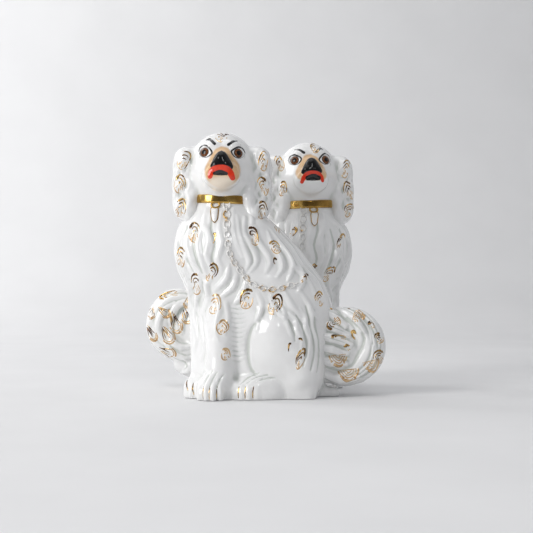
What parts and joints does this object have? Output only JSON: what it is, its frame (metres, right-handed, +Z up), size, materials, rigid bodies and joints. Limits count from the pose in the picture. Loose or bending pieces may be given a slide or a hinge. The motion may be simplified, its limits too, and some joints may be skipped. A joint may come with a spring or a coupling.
{
  "type": "seated spaniel ornament",
  "caption": "Seated spaniel ornaments in hollow glazed earthenware, mirror images of each other, with gilded collar, locket and chain and glass eyes, to stand on a mantelpiece.",
  "frame": {"origin": "centre of the bounding box of both dogs, on the surface they stand on", "axes": "+Z up, +X to the right and +Y away for a viewer who looks both dogs in the face; the front dog's body faces -X and the rear dog's +X"},
  "size_m": [0.2998, 0.254, 0.316],
  "materials": {
    "glazed_earthenware": "glossy white glaze with gold, black, red and tan painting",
    "bare_earthenware": "matt, unglazed",
    "gilding": "glossy gilding over clay relief",
    "eye_glass": "polished, brown with a black pupil",
    "plaster": "matt"
  },
  "bodies": {
    "root": {"front_dog_body_front_half": "glazed_earthenware", "front_dog_body_back_half": "glazed_earthenware", "front_dog_base_plate": "bare_earthenware", "front_dog_face_half": "glazed_earthenware", "front_dog_head_back_half": "glazed_earthenware", "front_dog_left_ear": "glazed_earthenware", "front_dog_right_ear": "glazed_earthenware", "front_dog_near_foreleg": "glazed_earthenware", "front_dog_far_foreleg": "glazed_earthenware", "front_dog_tail": "glazed_earthenware", "front_dog_collar": "gilding", "front_dog_locket": "gilding", "front_dog_chain": "gilding", "front_dog_left_eye": "eye_glass", "front_dog_right_eye": "eye_glass", "front_dog_eye_plaster": "plaster", "rear_dog_body_front_half": "glazed_earthenware", "rear_dog_body_back_half": "glazed_earthenware", "rear_dog_base_plate": "bare_earthenware", "rear_dog_face_half": "glazed_earthenware", "rear_dog_head_back_half": "glazed_earthenware", "rear_dog_left_ear": "glazed_earthenware", "rear_dog_right_ear": "glazed_earthenware", "rear_dog_near_foreleg": "glazed_earthenware", "rear_dog_far_foreleg": "glazed_earthenware", "rear_dog_tail": "glazed_earthenware", "rear_dog_collar": "gilding", "rear_dog_locket": "gilding", "rear_dog_chain": "gilding", "rear_dog_left_eye": "eye_glass", "rear_dog_right_eye": "eye_glass", "rear_dog_eye_plaster": "plaster"}
  },
  "joints": []
}
